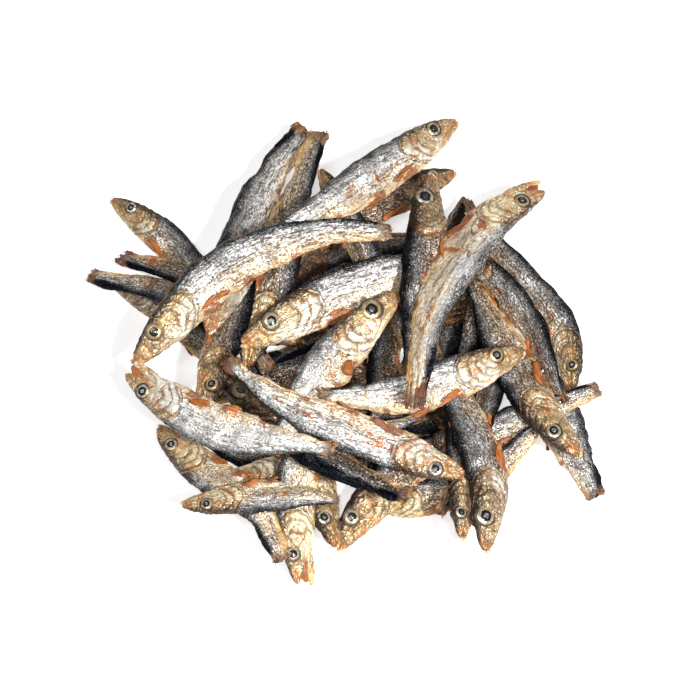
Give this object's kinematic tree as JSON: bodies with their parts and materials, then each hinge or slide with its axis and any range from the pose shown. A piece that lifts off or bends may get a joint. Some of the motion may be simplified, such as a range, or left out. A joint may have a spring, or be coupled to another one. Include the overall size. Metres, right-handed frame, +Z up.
{
  "type": "pile of dried sprats",
  "caption": "Loose heap of small whole dried fish with silver-gold skins, dark backs, heads and tails on, lying as they fell.",
  "frame": {"origin": "middle of the pile's footprint, on the surface it rests on", "axes": "+Z up out of the table, +X to the right and +Y away for someone looking at the pile from its front"},
  "size_m": [0.1757, 0.1678, 0.0431],
  "materials": {
    "dried_fish": "dry wrinkled fish skin, silver flanks, blue-black backs, golden bellies and heads, satin to glossy"
  },
  "bodies": {
    "root": {"sprat_pile": "dried_fish"}
  },
  "joints": []
}
